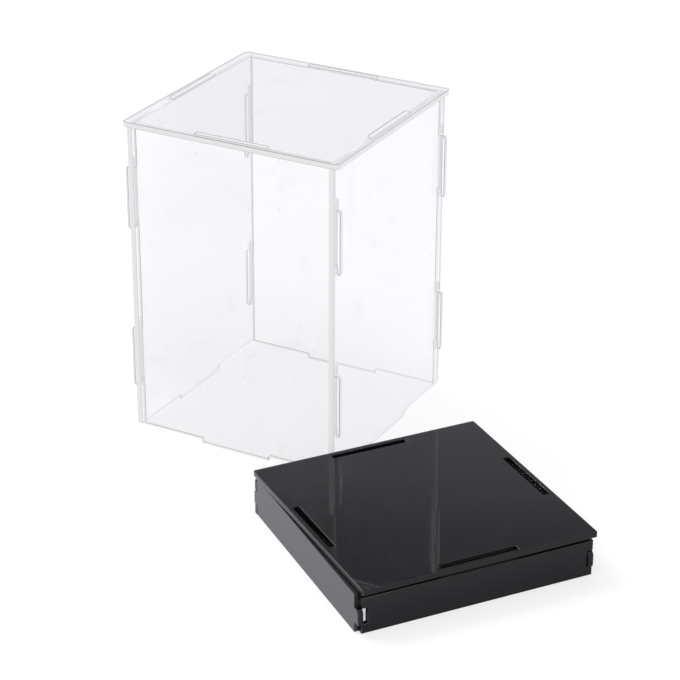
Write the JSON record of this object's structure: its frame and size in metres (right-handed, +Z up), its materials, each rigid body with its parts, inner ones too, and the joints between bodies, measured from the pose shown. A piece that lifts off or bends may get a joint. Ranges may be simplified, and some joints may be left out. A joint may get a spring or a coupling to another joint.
{
  "type": "acrylic display box",
  "caption": "Clear box-shaped cover of hooked flat panels standing beside its low black slotted base, for showing a small collectible.",
  "frame": {"origin": "on the table, under the middle of the box that bounds the cover and the base together", "axes": "+Z up; +X along the longest side of the whole set and square to the cover's left and right walls; +Y from the cover's front wall to its back wall; the base lies towards +X and -Y, turned 53.8 degrees anticlockwise from above"},
  "size_m": [0.2882, 0.2572, 0.1825],
  "materials": {
    "clear_sheet": "clear cast sheet with polished faces and laser-cut edges",
    "black_sheet": "black cast sheet with polished faces and laser-cut edges"
  },
  "bodies": {
    "base_frame": {"base_front_skirt": "black_sheet", "base_back_skirt": "black_sheet", "base_left_skirt": "black_sheet", "base_right_skirt": "black_sheet"},
    "base_deck": {"base_plate": "black_sheet"},
    "cover_sides": {"cover_left_wall": "clear_sheet", "cover_right_wall": "clear_sheet"},
    "cover_ends": {"cover_front_wall": "clear_sheet", "cover_back_wall": "clear_sheet"},
    "cover_top": {"cover_top_plate": "clear_sheet"}
  },
  "joints": [
    {"name": "base_plate_lift", "type": "slide", "parent": "base_frame", "child": "base_deck", "axis": [0, 0, 1], "range_m": [0, 0.02]},
    {"name": "cover_lift", "type": "slide", "parent": "base_frame", "child": "cover_sides", "axis": [0, 0, 1], "range_m": [0, 0.22]},
    {"name": "cover_unhook", "type": "slide", "parent": "cover_sides", "child": "cover_ends", "axis": [0, 0, 1], "range_m": [0, 0.0051]},
    {"name": "cover_top_lift", "type": "slide", "parent": "cover_ends", "child": "cover_top", "axis": [0, 0, 1], "range_m": [0, 0.02]}
  ]
}
